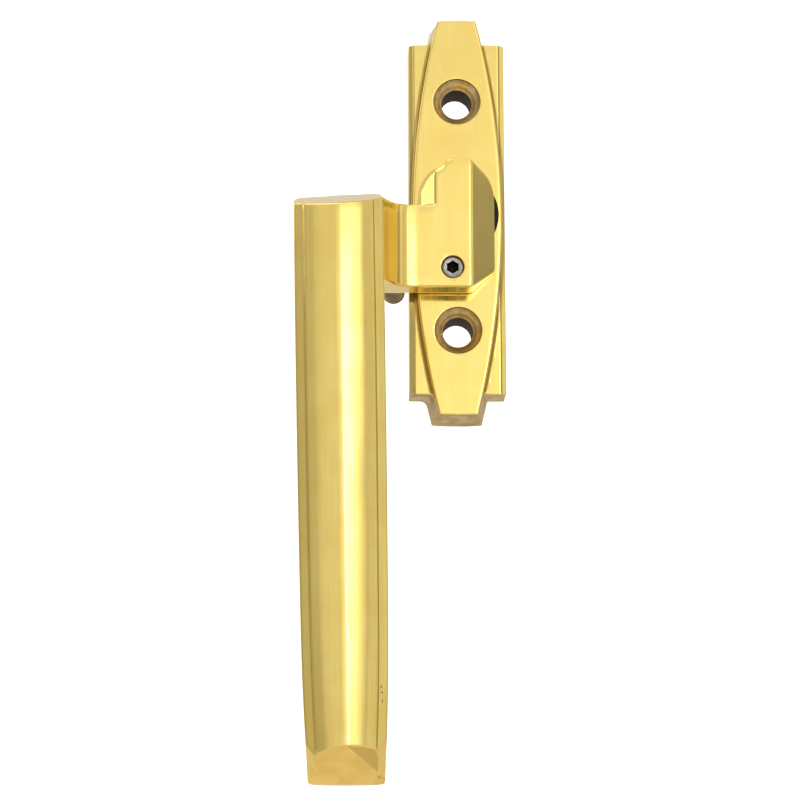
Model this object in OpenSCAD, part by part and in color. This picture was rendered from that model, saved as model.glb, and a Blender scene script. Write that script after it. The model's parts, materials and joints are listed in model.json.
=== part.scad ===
// Left-hand lockable espagnolette window handle in cast brass.
// The origin is on the pivot axis at the plate's back face. The front of the handle faces -Y and +Z is up.
// Heights named "rise" are measured forwards from the front face of the plate's centre panel.

/* [Backplate] */
// Width over the two wings
plate_w = 17.6; // [17.3:0.1:20]
// Height of the wings
plate_h = 66; // [62:0.2:70]
// Thickness from the back to the front of the centre panel
plate_t = 9; // [8.8:0.1:11]
// How far the wings lie below the centre panel
wing_drop = 2; // [1.2:0.1:3]
// Width of the lowered strip along each long side
strip_w = 1; // [0.6:0.05:1.4]
// Step down from a wing to its strip
strip_step = 0.35; // [0.2:0.05:0.6]
// Fall of the strip towards the outer edge
strip_fall = 0.5; // [0.2:0.05:0.8]
// Height of the centre panel, end to end
panel_h = 74.2; // [73:0.2:82]
// Greatest width of the centre panel's face
panel_w = 16.1; // [15.4:0.1:16.6]
// Width of the centre panel's face at its ends
panel_end_w = 6.9; // [6:0.1:9]
// How much the panel's long sides flare out down to the back
panel_flare = 1.3; // [0.8:0.1:1.8]
// How much the panel's ends flare out down to the back
panel_end_flare = 0.6; // [0.2:0.1:1]
// Cove where the panel rises from the wings
panel_cove = 0.8; // [0.4:0.1:1]

/* [Fixing holes] */
// Distance between the two fixing holes
fixing_centres = 43; // [42:0.5:44]
// Diameter of a fixing hole
fixing_d = 5.5; // [5:0.1:5.8]
// Diameter of the countersink at the face
sink_d = 8.6; // [8:0.1:9.2]
// Depth of the countersink's straight land
sink_land = 0.7; // [0.3:0.1:1]
// Depth of the countersink's cone
sink_cone = 1.4; // [1.1:0.1:1.8]

/* [Pivot] */
// Diameter of the spigot that the lever turns on
spigot_d = 11.4; // [11.2:0.1:11.6]
// Diameter of the spigot's nose, which is pressed into the head
nose_d = 9.8; // [9.6:0.1:10]
// Depth of the nose's seat in the head
nose_seat = 1.4; // [1:0.1:1.5]
// Wall of the nylon bush
bush_wall = 1; // [0.8:0.05:1.1]
// Thickness of plate left in front of the mechanism's pocket
pivot_web = 3; // [2.6:0.1:3.1]
// Diameter of the black washer under the head
washer_d = 15; // [14.6:0.1:15.6]
// Thickness of the black washer
washer_t = 0.58; // [0.4:0.02:0.8]
// Outer diameter of the thrust washers, disc spring and retaining ring
stack_d = 13.6; // [13.2:0.1:13.8]
// Thickness of a thrust washer
thrust_t = 0.4; // [0.3:0.02:0.45]
// Thickness of the disc spring's steel
disc_t = 0.3; // [0.2:0.02:0.32]
// Height of the disc spring's cone
disc_dish = 0.18; // [0.1:0.02:0.22]
// Thickness of the retaining ring
ring_t = 0.7; // [0.6:0.02:0.74]
// Depth of the retaining ring's groove
groove_depth = 0.4; // [0.3:0.02:0.45]
// Diameter of the key between nose and head
key_d = 1.6; // [1.2:0.1:1.8]
// Length of the key
key_l = 2.6; // [2:0.1:3]

/* [Spindle] */
// Width across the spindle's flats
spindle_w = 7; // [6.9:0.05:7]
// Corner chamfer of the spindle
spindle_corner = 0.8; // [0.7:0.05:1]
// Reach of the spindle behind the plate
spindle_reach = 38; // [20:1:45]
// Depth of the spindle's seat in the head
spindle_seat = 2.8; // [2:0.1:3]
// Diameter of the spindle's cross pin
pin_d = 2; // [1.6:0.1:2.2]

/* [Click stop] */
// Width across the cam's flats
cam_w = 9.4; // [9:0.1:9.6]
// Diameter over the cam's rounded corners
cam_round_d = 11.6; // [11:0.1:11.8]
// Thickness of the cam and width of its springs
cam_t = 2.3; // [1.8:0.05:2.35]
// Thickness of a leaf spring
leaf_t = 0.6; // [0.4:0.05:0.7]
// Length of a leaf spring
leaf_l = 21; // [19:0.2:21.4]

/* [Rear cover] */
// Thickness of the rear cover
cover_t = 1.1; // [0.8:0.05:1.1]
// Height of the rear cover
cover_h = 32; // [31.4:0.1:32.6]
// Width of the rear cover's two arms
cover_arm_w = 9; // [8:0.1:10]
// Distance between the cover screws
cover_screw_centres = 26.6; // [26.2:0.1:27]
// Thread diameter of a cover screw
cover_screw_d = 2.5; // [2:0.1:2.6]
// Head diameter of a cover screw
cover_screw_head_d = 4.4; // [4:0.1:4.6]
// Length of a cover screw
cover_screw_l = 4.5; // [3.5:0.1:5]

/* [Head] */
// Thickness of the head
head_t = 5.2; // [5:0.1:6.5]
// Top of the head above the pivot
head_top = 9.05; // [8.6:0.05:10]
// Bottom of the head and neck below the pivot
head_bottom = 14.8; // [14.4:0.1:16]
// Right side of the head from the pivot
head_right = 6.65; // [6.4:0.05:7.2]
// Left side of the head from the pivot
head_left = 7.4; // [7:0.05:8]
// Right ridge of the head's flat face from the pivot
ridge_right = 2.3; // [1.6:0.1:3]
// Left ridge of the head's flat face from the pivot
ridge_left = 4.2; // [3.4:0.1:4.8]
// Thickness of the head's rim at its sides
rim_t = 0.35; // [0.2:0.05:0.8]
// Half width of the head's top edge
crown_w = 2.05; // [1.4:0.05:2.4]

/* [Neck] */
// Top of the neck above the pivot
neck_top = 0.45; // [0:0.05:0.8]
// Start of the front cove, left of the pivot
cove_start = 9; // [8.6:0.1:9.4]
// Width of the front cove
cove_w = 6; // [5.6:0.1:6.4]
// Depth of the front cove
cove_depth = 10.2; // [9.8:0.1:10.6]
// Start of the back sweep, left of the pivot
sweep_start = 12.5; // [12:0.1:13]
// Width of the back sweep
sweep_w = 11.5; // [10.5:0.1:12]

/* [Grip] */
// Width of the grip at its top
grip_top_w = 15.6; // [14.6:0.1:17]
// Width of the grip just above its end
grip_end_w = 14.4; // [13:0.1:15.6]
// Swelling of the grip's width half way down
grip_belly = 0.5; // [0:0.1:1]
// Middle of the grip beside the pivot, left of it
grip_offset = 22; // [21.8:0.05:22.6]
// Lean of the grip, in degrees
grip_lean = 0.85; // [0:0.05:1.4]
// Reach of the grip below the pivot
grip_reach = 104.6; // [80:0.5:120]
// Rise of the grip's back
grip_back = 15; // [14.6:0.1:15.4]
// Thickness of the grip at its ridge
grip_t = 10.5; // [9.5:0.1:12]
// Width of the ledge along each side of the grip
ledge_w = 1.6; // [1.2:0.1:2.2]
// Step from the ledge up to the flank
ledge_step = 0.6; // [0.3:0.05:0.9]
// Rise of the ridge over the flanks' outer edges
gable_rise = 1.7; // [1:0.1:2.4]
// Length of the bevel at the grip's end
bevel_l = 6.1; // [4:0.1:7]
// Slope of the bevel at the grip's end, in degrees from square across the grip
bevel_angle = 39; // [30:1:50]
// Length over which the grip's sides draw in at its end
draw_l = 4.2; // [3:0.1:6]
// How far each side draws in there
draw_in = 0.6; // [0.3:0.05:1]
// Slope of the grip's top, in degrees
top_angle = 21.5; // [15:0.5:26]
// Sideways fall of the grip's top, in degrees
top_fall = 3.5; // [0:0.5:4]

/* [Rest peg] */
// Diameter of the peg behind the neck
peg_d = 4.2; // [3.6:0.1:4.4]
// Gap between the peg and the plate's side
peg_gap = 0.65; // [0.4:0.05:1]
// Gap between the peg and the surface that the plate is fixed to
peg_clear = 0.4; // [0.2:0.1:1]
// Diameter of the peg's tenon, which is pressed into the neck
tenon_d = 2.8; // [2:0.1:3.2]
// Length of the tenon
tenon_l = 3; // [2:0.1:3.6]

/* [Lock screw] */
// Diameter of the lock screw
lock_d = 4; // [3.6:0.1:4.2]
// Length of the lock screw
lock_l = 4.8; // [4.4:0.1:4.9]
// Size of the key that turns it
lock_key = 2; // [1.5:0.1:2.2]
// Diameter of the screw's dog point
lock_point_d = 2.4; // [1.8:0.1:2.8]
// Length of the dog point
lock_point_l = 1.2; // [1:0.1:1.6]
// Depth of the unlocked screw below the head's face
lock_recess = 0.2; // [0.1:0.05:0.3]
// Travel from unlocked to locked
lock_travel = 2; // [1.6:0.1:2.2]
// Place of the screw right of the pivot
lock_x = -1.2; // [-2:0.1:0]
// Depth of the screw below the pivot
lock_drop = 11.1; // [11:0.1:11.4]

/* [Fits] */
// Radial clearance of turning and sliding fits
run_gap = 0.04; // [0.02:0.01:0.08]
// Radial clearance of pressed and screwed fits
press_gap = 0.02; // [0.01:0.005:0.03]
// Clearance between faces that turn on each other
face_gap = 0.02; // [0.01:0.005:0.04]

/* [Hidden] */
$fn = 96;
through = 1;                                    // how far a cutter runs past the face that it opens
half_space = 60;                                // reach of the cutters that slope the grip's two ends
curve_steps = 20;                               // steps along the neck's two curves
tip_gap = 0.3;                                  // room past a screw's tip
turn_gap = 0.3;                                 // room round a turning piece that isn't guided
ring_land = 0.2;                                // spigot left behind the retaining ring
cover_lap = 0.5;                                // how far the cover laps over the pocket's rim

// Places along Y, negative towards the front
front_y = -plate_t;
wing_y = -(plate_t - wing_drop);
head_back_y = front_y - washer_t - face_gap;
head_front_y = head_back_y - head_t;
head_rise = washer_t + face_gap + head_t;
back_rise = washer_t + face_gap;                // rise of the head's back
pocket_y = front_y + pivot_web;
cover_y = -cover_t - face_gap;
cam_y = cover_y - face_gap;
nose_front_y = head_back_y - nose_seat;
front_thrust_y = pocket_y + thrust_t;           // rear face of the front thrust washer
disc_y = front_thrust_y + face_gap + disc_t + disc_dish;
rear_thrust_y = disc_y + face_gap + thrust_t;
ring_y = rear_thrust_y + face_gap + ring_t;
spigot_back_y = ring_y + ring_land;
spindle_front_y = head_back_y - spindle_seat;

// Radii and places across
spigot_r = spigot_d / 2;
bush_r = spigot_r + run_gap + bush_wall;
pocket_r = stack_d / 2 + turn_gap;
cover_r = pocket_r + cover_lap;
cover_bore_r = norm([spindle_w / 2, spindle_w / 2 - spindle_corner]) + 2 * turn_gap;
sleeve_r = spigot_r + run_gap + face_gap;       // bore of the washers that the spigot turns in
groove_r = spigot_r - groove_depth;
panel_swell = (panel_w - panel_end_w) / 2;      // how far each long side bows out
panel_r = (panel_h * panel_h / 4 + panel_swell * panel_swell) / (2 * panel_swell);
leaf_x = cam_w / 2 + face_gap;                  // inner face of a leaf spring
slot_w = 2 * (leaf_x + leaf_t + face_gap);
slot_h = leaf_l + 0.2;
cross_l = cover_screw_head_d * 0.56;            // length, width and depth of the cover screw's cross
cross_w = cover_screw_d * 0.2;
cross_depth = cover_t * 0.6;
lock_r = lock_d / 2;
lock_point_r = lock_point_d / 2;
lock_front_y = head_front_y + lock_recess;
lock_back_y = lock_front_y + lock_l;
nose_r = nose_d / 2;
pin_y = (front_y + pocket_y) / 2;               // the cross pin lies within the bush
peg_x = -(plate_w / 2 + peg_gap + peg_d / 2);
peg_z = -head_bottom + peg_d / 2;
grip_front = grip_back + grip_t;                // rise of the grip's ridge
flank_rise = grip_front - gable_rise;           // rise of the flanks' outer edges
neck_overlap = 1;                               // how far the head reaches down into the neck
root_overlap = 2;                               // how far the neck reaches into the grip
heel = 3.9;                                     // height of the corner cut below the head's right side
ledge_round = 0.2;                              // rounding beside the grip's ledges
grip_start = 3;                                 // the grip's own solid starts above its sloping top
grip_rows = 4;                                  // spans of the grip between its top and its drawn-in end

// The head's rounded shoulders, as shares of its sides and its top
shoulder_right = [[1, 0.36], [0.94, 0.58], [0.8, 0.74]];
shoulder_left = [[0.57, 0.84], [0.74, 0.77], [0.87, 0.65], [0.96, 0.48], [1, 0.3]];
// The bend in the facet left of the head's flat face, as shares of the facet's width and depth
cheek = [0.75, 0.5];
// The rounding of the grip's back: inset from the side, and rise above the back
back_round = [[1.6, 0], [0.8, 0.5], [0.3, 1.5], [0, 3.4]];
// The bow of a flank between ledge and ridge, as shares of its width and rise
flank_bow = [0.55, 0.56];

function lerp(a, b, t) = a + (b - a) * t;
function quarter(cx, cy, a, b, from, to) =
    [for (i = [0:curve_steps]) let (t = lerp(from, to, i / curve_steps)) [cx + a * cos(t), cy + b * sin(t)]];
function mirrored(points) = [for (i = [len(points) - 1:-1:0]) [-points[i][0], points[i][1]]];

// A cylinder or cone along Y, from its back face forwards
module rod(x, back_y, z, length, r_back, r_front) {
    translate([x, back_y, z])
        rotate([90, 0, 0])
            cylinder(h = length, r1 = r_back, r2 = r_front);
}

// An outline in X and Z, as thick as given, from its back face forwards
module face_outline(points, back_y, length) {
    translate([0, back_y, 0])
        rotate([90, 0, 0])
            linear_extrude(length)
                polygon(points);
}

// A plan in X and rise, raised along Z
module plan(points, low_z, high_z) {
    translate([0, front_y, low_z])
        linear_extrude(high_z - low_z)
            polygon([for (p = points) [p[0], -p[1]]]);
}

// A square bar along Y with chamfered corners
module square_bar(width, corner, back_y, length) {
    h = width / 2;
    c = h - corner;
    face_outline([[h, -c], [h, c], [c, h], [-c, h], [-h, c], [-h, -c], [-c, -h], [c, -h]], back_y, length);
}

module fixing_hole(z) {
    rod(0, through, z, plate_t + 2 * through, fixing_d / 2, fixing_d / 2);
    rod(0, front_y + sink_land + sink_cone, z, sink_cone, fixing_d / 2, sink_d / 2);
    rod(0, front_y + sink_land, z, sink_land + through, sink_d / 2, sink_d / 2);
}

// The space between two long arcs that flare towards the back
module boat(back_y, length, half_w_back, half_w_front) {
    intersection_for (side = [-1, 1])
        rod(side * (panel_r - panel_w / 2), back_y, 0, length,
            panel_r + half_w_back - panel_w / 2, panel_r + half_w_front - panel_w / 2);
}

module backplate() {
    flat_x = plate_w / 2 - strip_w;
    half = [[plate_w / 2, 0],
            [plate_w / 2, wing_y + strip_step + strip_fall],
            [flat_x + strip_step / 2, wing_y + strip_step],
            [flat_x, wing_y]];
    end_z = panel_h / 2;
    cove_r = panel_w / 2 + panel_flare * wing_drop / plate_t;
    color("goldenrod")
    difference() {
        union() {
            translate([0, 0, -plate_h / 2])
                linear_extrude(plate_h)
                    polygon(concat(half, mirrored(half)));
            intersection() {
                boat(0, plate_t, panel_w / 2 + panel_flare, panel_w / 2);
                translate([-plate_w / 2, 0, 0])
                    rotate([90, 0, 90])
                        linear_extrude(plate_w)
                            polygon([[0, -end_z - panel_end_flare], [front_y, -end_z],
                                     [front_y, end_z], [0, end_z + panel_end_flare]]);
            }
            intersection() {
                boat(wing_y, panel_cove, cove_r + panel_cove, cove_r - panel_flare * panel_cove / plate_t);
                translate([-flat_x, front_y, -plate_h / 2])
                    cube([2 * flat_x, plate_t, plate_h]);
            }
        }
        for (side = [-1, 1]) {
            fixing_hole(side * fixing_centres / 2);
            rod(0, 0, side * cover_screw_centres / 2, cover_screw_l + tip_gap,
                cover_screw_d / 2 + press_gap, cover_screw_d / 2 + press_gap);
        }
        rod(0, 0, 0, plate_t + through, bush_r + press_gap, bush_r + press_gap);
        rod(0, through, 0, through - pocket_y, pocket_r, pocket_r);
        rod(0, through, 0, through + cover_t + face_gap, cover_r + press_gap, cover_r + press_gap);
        translate([-slot_w / 2, cam_y - cam_t - face_gap, -slot_h / 2])
            cube([slot_w, cam_t + plate_t, slot_h]);
        translate([-cover_arm_w / 2 - press_gap, cover_y, -cover_h / 2 - press_gap])
            cube([cover_arm_w + 2 * press_gap, plate_t, cover_h + 2 * press_gap]);
        rod(lock_x, lock_back_y + lock_travel + tip_gap, -lock_drop, lock_travel + 2 * through,
            lock_point_r + tip_gap, lock_point_r + tip_gap);
    }
}

// A flat ring about the pivot
module ring(outer_r, inner_r, back_y, length) {
    difference() {
        rod(0, back_y, 0, length, outer_r, outer_r);
        rod(0, back_y + through, 0, length + 2 * through, inner_r, inner_r);
    }
}

module pivot_bush() {
    color("dimgray")
    ring(bush_r, spigot_r + run_gap, pocket_y, pivot_web);
}

module pivot_washer() {
    color("black")
    ring(washer_d / 2, sleeve_r, front_y, washer_t);
}

module thrust_washer_front() {
    color("silver")
    ring(stack_d / 2, sleeve_r, front_thrust_y, thrust_t);
}

module thrust_washer_rear() {
    color("silver")
    ring(stack_d / 2, sleeve_r, rear_thrust_y, thrust_t);
}

// The disc is dished: its rim bears on the front washer and its bore edge on the rear one
module disc_spring() {
    color("slategray")
    translate([0, disc_y, 0])
        rotate([90, 0, 0])
            rotate_extrude()
                polygon([[sleeve_r, 0], [stack_d / 2, disc_dish],
                         [stack_d / 2, disc_dish + disc_t], [sleeve_r, disc_t]]);
}

module click_spring(side) {
    color("lightsteelblue")
    translate([side > 0 ? leaf_x : -leaf_x - leaf_t, cam_y - cam_t, -leaf_l / 2])
        cube([leaf_t, cam_t, leaf_l]);
}

module click_spring_left() {
    click_spring(-1);
}

module click_spring_right() {
    click_spring(1);
}

module rear_cover() {
    color("silver")
    difference() {
        union() {
            rod(0, 0, 0, cover_t, cover_r, cover_r);
            translate([-cover_arm_w / 2, -cover_t, -cover_h / 2])
                cube([cover_arm_w, cover_t, cover_h]);
        }
        rod(0, through, 0, cover_t + 2 * through, cover_bore_r, cover_bore_r);
        for (side = [-1, 1]) {
            rod(0, 0, side * cover_screw_centres / 2, cover_t,
                cover_screw_head_d / 2 + press_gap, cover_screw_d / 2 + press_gap);
            rod(0, 0, side * cover_screw_centres / 2, cover_t + through,
                cover_screw_d / 2 + press_gap, cover_screw_d / 2 + press_gap);
        }
    }
}

module cover_screw(z) {
    color("lightgray")
    difference() {
        union() {
            rod(0, 0, z, cover_t, cover_screw_head_d / 2, cover_screw_d / 2);
            rod(0, -cover_t, z, cover_screw_l - cover_t, cover_screw_d / 2, cover_screw_d / 2);
        }
        for (turn = [45, 135]) {
            translate([0, 0, z])
                rotate([0, turn, 0])
                    translate([-cross_l / 2, -cross_depth, -cross_w / 2])
                        cube([cross_l, cross_depth + through, cross_w]);
        }
    }
}

module cover_screw_upper() {
    cover_screw(cover_screw_centres / 2);
}

module cover_screw_lower() {
    cover_screw(-cover_screw_centres / 2);
}

// The head's plan: a flat face between two ridges, with a facet down to the rim at each side
function head_plan(flat_left) =
    concat([[ridge_right, head_rise], [head_right, back_rise + rim_t], [head_right, back_rise]], flat_left);

module head_block() {
    right = concat([for (p = shoulder_right) [p[0] * head_right, p[1] * head_top]], [[crown_w, head_top]]);
    left = concat([[-crown_w, head_top]], [for (p = shoulder_left) [-p[0] * head_left, p[1] * head_top]]);
    intersection() {
        plan(head_plan([[-head_left, back_rise],
                        [-head_left, back_rise + 2 * rim_t],
                        [-lerp(ridge_left, head_left, cheek[0]), lerp(head_rise, back_rise, cheek[1])],
                        [-ridge_left, head_rise]]),
             -head_bottom, head_top);
        face_outline(concat(right, left, [[-head_left, -neck_overlap], [head_right, -neck_overlap]]),
                     front_y, -head_front_y);
    }
}

// The neck's plan: a cove in front and a wider sweep behind, both rising to the grip
module neck_block() {
    sweep_rise = grip_back + root_overlap / 4;
    cove = quarter(-cove_start, head_rise + cove_depth, cove_w, cove_depth, 270, 180);
    sweep = quarter(-sweep_start, sweep_rise, sweep_w, sweep_rise - back_rise, 180, 270);
    root = grip_back + root_overlap;
    grip_x = -sweep_start - sweep_w;
    intersection() {
        plan(head_plan(concat([[-sweep_start, back_rise]],
                              [for (i = [len(sweep) - 2:-1:0]) sweep[i]],
                              [[grip_x, root], [-cove_start - cove_w - root_overlap / 4, root]],
                              [for (i = [len(cove) - 1:-1:0]) if (cove[i][1] < root) cove[i]])),
             -head_bottom, neck_top);
        face_outline([[head_right, neck_top], [head_right, -head_bottom + heel],
                      [ridge_right, -head_bottom], [grip_x, -head_bottom], [grip_x, neck_top]],
                     front_y, -front_y + grip_front);
    }
}

// Half width of the grip at a height: it swells half way down, and draws in at the end
function grip_half(z) =
    let (t = (grip_start - z) / (grip_start + grip_reach - draw_l),
         drawn = max(0, (draw_l - z - grip_reach) / draw_l))
    (lerp(grip_top_w, grip_end_w, min(t, 1)) + grip_belly * 4 * max(0, t * (1 - t))) / 2 - draw_in * drawn;

// One half of the grip's section, from the middle of the back to the ridge
function grip_side(w) =
    let (ledge_rise = flank_rise - ledge_step)
    concat([for (p = back_round) [w - p[0], grip_back + p[1]]],
           [[w, ledge_rise - 2.5 * ledge_round], [w - ledge_round, ledge_rise - ledge_round],
            [w - ledge_w, ledge_rise], [w - ledge_w - ledge_round, flank_rise],
            [(w - ledge_w) * flank_bow[0], flank_rise + gable_rise * flank_bow[1]]]);

function grip_row(z) =
    let (half = grip_side(grip_half(z)), shift = -z * tan(grip_lean) - grip_offset)
    [for (p = concat([[0, grip_back]], half, [[0, grip_front]], mirrored(half)))
        [p[0] + shift, front_y - p[1], z]];

// A solid through rows of points, with its first and last rows as end faces
module loft(rows) {
    n = len(rows[0]);
    last = (len(rows) - 1) * n;
    polyhedron(
        points = [for (r = rows) each r],
        faces = concat([[for (i = [0:n - 1]) (n - i) % n]],
                       [for (k = [0:len(rows) - 2], i = [0:n - 1])
                           let (j = (i + 1) % n) [k * n + i, k * n + j, (k + 1) * n + j, (k + 1) * n + i]],
                       [[for (i = [0:n - 1]) last + i]]));
}

module grip() {
    drawn_z = -grip_reach + draw_l;
    loft([for (z = concat([-grip_reach],
                          [for (i = [0:grip_rows]) lerp(drawn_z, grip_start, i / grip_rows)]))
        grip_row(z)]);
}

module lever_casting() {
    color("gold")
    difference() {
        union() {
            head_block();
            difference() {
                union() {
                    neck_block();
                    grip();
                }
                translate([-cove_start - cove_w, front_y - grip_back, 0])
                    rotate([top_angle, -top_fall, 0])
                        translate([-half_space, -half_space, 0])
                            cube(2 * half_space);
                translate([0, front_y - grip_front, -grip_reach + bevel_l])
                    rotate([-bevel_angle, 0, 0])
                        translate([-half_space, -half_space, -2 * half_space])
                            cube(2 * half_space);
            }
        }
        rod(0, front_y, 0, front_y - nose_front_y, nose_r + press_gap, nose_r + press_gap);
        square_bar(spindle_w + 2 * press_gap, spindle_corner, front_y, front_y - spindle_front_y + press_gap);
        rod(0, front_y, nose_r, front_y - head_back_y + key_l + press_gap, key_d / 2 + press_gap,
            key_d / 2 + press_gap);
        rod(lock_x, front_y, -lock_drop, plate_t, lock_r + run_gap, lock_r + run_gap);
        rod(peg_x, front_y, peg_z, front_y - head_back_y + tenon_l, tenon_d / 2 + press_gap,
            tenon_d / 2 + press_gap);
    }
}

module rest_peg() {
    color("peru")
    union() {
        rod(peg_x, -peg_clear, peg_z, -peg_clear - head_back_y, peg_d / 2, peg_d / 2);
        rod(peg_x, head_back_y, peg_z, tenon_l - face_gap, tenon_d / 2, tenon_d / 2);
    }
}

module pivot_spigot() {
    color("lightgray")
    difference() {
        union() {
            rod(0, spigot_back_y, 0, spigot_back_y - head_back_y, spigot_r, spigot_r);
            rod(0, head_back_y, 0, nose_seat, nose_r, nose_r);
        }
        ring(spigot_r + through, groove_r, ring_y + face_gap, ring_t + 2 * face_gap);
        square_bar(spindle_w + 2 * press_gap, spindle_corner, 0, plate_t - head_back_y);
        rod(0, head_back_y, nose_r, nose_seat + through, key_d / 2 + press_gap, key_d / 2 + press_gap);
        spindle_pin_hole();
    }
}

module spigot_key() {
    color("gray")
    rod(0, head_back_y, nose_r, key_l, key_d / 2, key_d / 2);
}

module spindle_pin_hole() {
    translate([-spigot_r - through, pin_y, 0])
        rotate([0, 90, 0])
            cylinder(h = spigot_d + 2 * through, r = pin_d / 2 + press_gap);
}

module spindle_pin() {
    color("gray")
    translate([-spigot_r + 0.2, pin_y, 0])
        rotate([0, 90, 0])
            cylinder(h = spigot_d - 0.4, r = pin_d / 2);
}

module spindle() {
    color("silver")
    difference() {
        square_bar(spindle_w, spindle_corner, spindle_reach, spindle_reach - spindle_front_y);
        spindle_pin_hole();
    }
}

module retaining_ring() {
    color("slategray")
    difference() {
        ring(stack_d / 2, groove_r + press_gap, ring_y, ring_t);
        translate([-spigot_r / 2, ring_y - ring_t - through, 0])
            cube([spigot_r, ring_t + 2 * through, stack_d]);
    }
}

module click_cam() {
    color("darkgray")
    difference() {
        intersection() {
            translate([-cam_w / 2, cam_y - cam_t, -cam_w / 2])
                cube([cam_w, cam_t, cam_w]);
            rod(0, cam_y + through, 0, cam_t + 2 * through, cam_round_d / 2, cam_round_d / 2);
        }
        square_bar(spindle_w + 2 * press_gap, spindle_corner, 0, plate_t);
    }
}

module lock_screw() {
    color("lightsteelblue")
    difference() {
        union() {
            rod(lock_x, lock_back_y - lock_point_l, -lock_drop, lock_l - lock_point_l, lock_r, lock_r);
            rod(lock_x, lock_back_y, -lock_drop, lock_point_l, lock_point_r, lock_point_r);
        }
        translate([lock_x, lock_front_y + lock_key, -lock_drop])
            rotate([90, 0, 0])
                cylinder(h = lock_key + through, r = lock_key / sqrt(3), $fn = 6);
    }
}

backplate();
pivot_bush();
pivot_washer();
thrust_washer_front();
disc_spring();
thrust_washer_rear();
click_spring_left();
click_spring_right();
rear_cover();
cover_screw_upper();
cover_screw_lower();
lever_casting();
rest_peg();
pivot_spigot();
spigot_key();
spindle_pin();
spindle();
retaining_ring();
click_cam();
lock_screw();
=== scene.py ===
import json
import math

import bmesh
import bpy
import numpy as np
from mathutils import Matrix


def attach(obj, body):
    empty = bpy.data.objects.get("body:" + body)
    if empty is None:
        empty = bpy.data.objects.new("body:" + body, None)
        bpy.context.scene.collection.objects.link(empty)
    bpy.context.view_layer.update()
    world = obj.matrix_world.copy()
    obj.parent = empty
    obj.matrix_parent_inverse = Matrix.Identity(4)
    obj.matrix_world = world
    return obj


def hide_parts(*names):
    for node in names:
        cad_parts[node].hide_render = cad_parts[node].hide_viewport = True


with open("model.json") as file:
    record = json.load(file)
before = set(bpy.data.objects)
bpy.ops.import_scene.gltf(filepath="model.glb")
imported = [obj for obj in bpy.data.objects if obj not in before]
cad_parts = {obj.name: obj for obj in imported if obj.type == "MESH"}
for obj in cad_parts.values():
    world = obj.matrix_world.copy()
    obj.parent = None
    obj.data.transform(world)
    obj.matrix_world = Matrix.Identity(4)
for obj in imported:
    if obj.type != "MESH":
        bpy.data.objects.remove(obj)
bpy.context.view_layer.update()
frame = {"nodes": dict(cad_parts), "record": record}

# Shapes are in millimetres, where "forward" is the distance in front of the plate's back face, so y = -forward.
# Materials, lamps and the camera are in metres.
mm = 0.001
tiny = 1e-9  # the least length that is divided by


# Rounds every corner of closed outlines, one outline a row. corners is (rows, corners, axes), and cuts says how
# much of the edge before and after each corner its rounding takes, up to the share most of that edge. A rounding
# is the rational quadratic curve start, corner, end whose middle weight is the cosine of half the turn, which
# makes it a circular arc. arcs and runs are the spans in each rounding and in the straight line after it.
def softLoop(corners, cuts, arcs, runs, most=0.46):
    before, after = np.roll(corners, 1, axis=1), np.roll(corners, -1, axis=1)
    lengthIn = np.linalg.norm(corners - before, axis=2, keepdims=True)
    lengthOut = np.linalg.norm(after - corners, axis=2, keepdims=True)
    wayIn = (corners - before) / np.maximum(lengthIn, tiny)
    wayOut = (after - corners) / np.maximum(lengthOut, tiny)
    start = corners - wayIn * np.minimum(cuts[..., :1], most * lengthIn)
    end = corners + wayOut * np.minimum(cuts[..., 1:], most * lengthOut)
    weight = np.sqrt((1 + np.clip((wayIn * wayOut).sum(2), -1, 1)) / 2)
    strips = []
    for k in range(corners.shape[1]):
        t = np.linspace(0, 1, arcs[k] + 1)[None, :, None]
        a, b, c = start[:, k, None], corners[:, k, None], end[:, k, None]
        bend = 2 * weight[:, k, None, None] * t * (1 - t)
        strips.append(((1 - t) ** 2 * a + bend * b + t * t * c) / ((1 - t) ** 2 + bend + t * t))
        following = start[:, (k + 1) % corners.shape[1], None]
        share = np.linspace(0, 1, runs[k] + 1)[None, 1:-1, None]
        strips.append(c + (following - c) * share)
    return np.concatenate(strips, axis=1)


# Rounds one open line of points with plain quadratic curves; cut has a length for each point
def softLine(points, cut, steps, most=0.49):
    p, cut = np.array(points, float), np.array(cut, float)
    before, after = p[1:-1] - p[:-2], p[2:] - p[1:-1]
    lengthIn, lengthOut = np.linalg.norm(before, axis=1), np.linalg.norm(after, axis=1)
    takeIn = np.minimum(cut[1:-1], most * lengthIn)[:, None] / lengthIn[:, None]
    takeOut = np.minimum(cut[1:-1], most * lengthOut)[:, None] / lengthOut[:, None]
    a, b, c = p[1:-1] - before * takeIn, p[1:-1], p[1:-1] + after * takeOut
    t = np.linspace(0, 1, steps)[None, :, None]
    arcs = (1 - t) ** 2 * a[:, None] + 2 * t * (1 - t) * b[:, None] + t * t * c[:, None]
    return np.concatenate([p[:1], arcs.reshape(-1, p.shape[1]), p[-1:]])


# The larger of two heights, with the crease between them rounded over the given width
def softMax(a, b, width):
    return (a + b + np.sqrt((a - b) ** 2 + width * width)) / 2


# From 0 at low to 1 at high, slow at both ends; low may be the larger of the two
def smoothStep(low, high, value):
    t = np.clip((value - low) / (high - low), 0, 1)
    return t * t * (3 - 2 * t)


# Section points over z: each pair is x and forward, as arrays over z or plain numbers
def pointRows(z, *pairs):
    return np.stack([np.stack([0 * z + a, 0 * z + b], 1) for a, b in pairs], axis=1)


# Four-cornered faces over a grid of vertex numbers
def gridFaces(ids, wrap):
    if wrap:
        ids = np.concatenate([ids, ids[:, :1]], axis=1)
    return np.stack([ids[:-1, :-1], ids[:-1, 1:], ids[1:, 1:], ids[1:, :-1]], axis=-1).reshape(-1, 4)


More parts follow.
